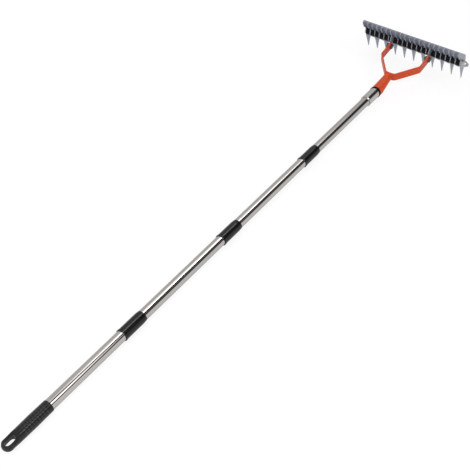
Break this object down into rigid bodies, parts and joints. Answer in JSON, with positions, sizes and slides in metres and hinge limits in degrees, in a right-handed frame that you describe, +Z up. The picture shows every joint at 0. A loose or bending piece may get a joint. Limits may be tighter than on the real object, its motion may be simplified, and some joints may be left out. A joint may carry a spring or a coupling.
{
  "type": "thatch rake",
  "caption": "Thatch rake with a screw-together steel pole, a black hanging grip, an orange fork and a row of crescent blades, every other one with a tine.",
  "frame": {"origin": "middle of the footprint on the floor that the rake lies on", "axes": "+Y along the pole from grip to head, +X along the head rod, +Z up from the floor, tines down"},
  "size_m": [0.326, 1.6394, 0.1095],
  "materials": {
    "grip_black": "satin moulded",
    "stainless": "polished stainless",
    "nylon_black": "moulded nylon",
    "coupler_black": "satin moulded",
    "seal_rubber": "smooth rubber",
    "orange_paint": "orange powder coat",
    "zinc_rod": "zinc plated, threaded",
    "zinc_blade": "zinc plated",
    "spacer_black": "plain moulded",
    "black_fastener": "black oxide",
    "zinc_fastener": "bright zinc"
  },
  "bodies": {
    "section_1": {"grip": "grip_black", "tube_1": "stainless", "stud_1": "nylon_black"},
    "seal_1": {"seal_1": "seal_rubber"},
    "section_2": {"insert_1": "nylon_black", "coupler_1": "coupler_black", "tube_2": "stainless", "stud_2": "nylon_black"},
    "seal_2": {"seal_2": "seal_rubber"},
    "section_3": {"insert_2": "nylon_black", "coupler_2": "coupler_black", "tube_3": "stainless", "stud_3": "nylon_black"},
    "seal_3": {"seal_3": "seal_rubber"},
    "section_4": {"insert_3": "nylon_black", "coupler_3": "coupler_black", "tube_4": "stainless", "stud_4": "nylon_black", "collar": "stainless"},
    "neck_ring": {"neck_ring": "seal_rubber"},
    "yoke": {"insert_4": "nylon_black", "socket": "orange_paint", "yoke": "orange_paint"},
    "head": {"head_rod": "zinc_rod", "blade_01": "zinc_blade", "blade_02": "zinc_blade", "blade_03": "zinc_blade", "blade_04": "zinc_blade", "blade_05": "zinc_blade", "blade_06": "zinc_blade", "blade_07": "zinc_blade", "blade_08": "zinc_blade", "blade_09": "zinc_blade", "blade_10": "zinc_blade", "blade_11": "zinc_blade", "blade_12": "zinc_blade", "blade_13": "zinc_blade", "blade_14": "zinc_blade", "blade_15": "zinc_blade", "blade_16": "zinc_blade", "blade_17": "zinc_blade", "blade_18": "zinc_blade", "blade_19": "zinc_blade", "blade_20": "zinc_blade", "blade_21": "zinc_blade", "spacers": "spacer_black", "end_washer": "zinc_fastener", "end_nut": "zinc_fastener", "pivot_bolts": "black_fastener", "pivot_nuts": "black_fastener"}
  },
  "joints": [
    {"name": "screw_1_turn", "type": "hinge", "parent": "section_1", "child": "seal_1", "pos_m": [-0.008, -0.45573, 0.01565], "axis": [0, 1, 0.0058], "range_deg": [0, 1350]},
    {"name": "screw_1_travel", "type": "slide", "parent": "seal_1", "child": "section_2", "axis": [0, 1, 0.0058], "range_m": [0, 0.01875]},
    {"name": "screw_2_turn", "type": "hinge", "parent": "section_2", "child": "seal_2", "pos_m": [-0.008, -0.11174, 0.01764], "axis": [0, 1, 0.0058], "range_deg": [0, 1350]},
    {"name": "screw_2_travel", "type": "slide", "parent": "seal_2", "child": "section_3", "axis": [0, 1, 0.0058], "range_m": [0, 0.01875]},
    {"name": "screw_3_turn", "type": "hinge", "parent": "section_3", "child": "seal_3", "pos_m": [-0.008, 0.23226, 0.01963], "axis": [0, 1, 0.0058], "range_deg": [0, 1350]},
    {"name": "screw_3_travel", "type": "slide", "parent": "seal_3", "child": "section_4", "axis": [0, 1, 0.0058], "range_m": [0, 0.01875]},
    {"name": "head_screw_turn", "type": "hinge", "parent": "section_4", "child": "neck_ring", "pos_m": [-0.008, 0.57625, 0.02161], "axis": [0, 1, 0.0058], "range_deg": [0, 1350]},
    {"name": "head_screw_travel", "type": "slide", "parent": "neck_ring", "child": "yoke", "axis": [0, 1, 0.0058], "range_m": [0, 0.01875]},
    {"name": "head_tilt", "type": "hinge", "parent": "yoke", "child": "head", "pos_m": [-0.008, 0.76199, 0.05467], "axis": [1, 0, 0], "range_deg": [-45, 45]}
  ],
  "couplings": [
    {"joint": "screw_1_turn", "follows": "screw_1_travel", "rad_per_m": 1256.6},
    {"joint": "screw_2_turn", "follows": "screw_2_travel", "rad_per_m": 1256.6},
    {"joint": "screw_3_turn", "follows": "screw_3_travel", "rad_per_m": 1256.6},
    {"joint": "head_screw_turn", "follows": "head_screw_travel", "rad_per_m": 1256.6}
  ]
}
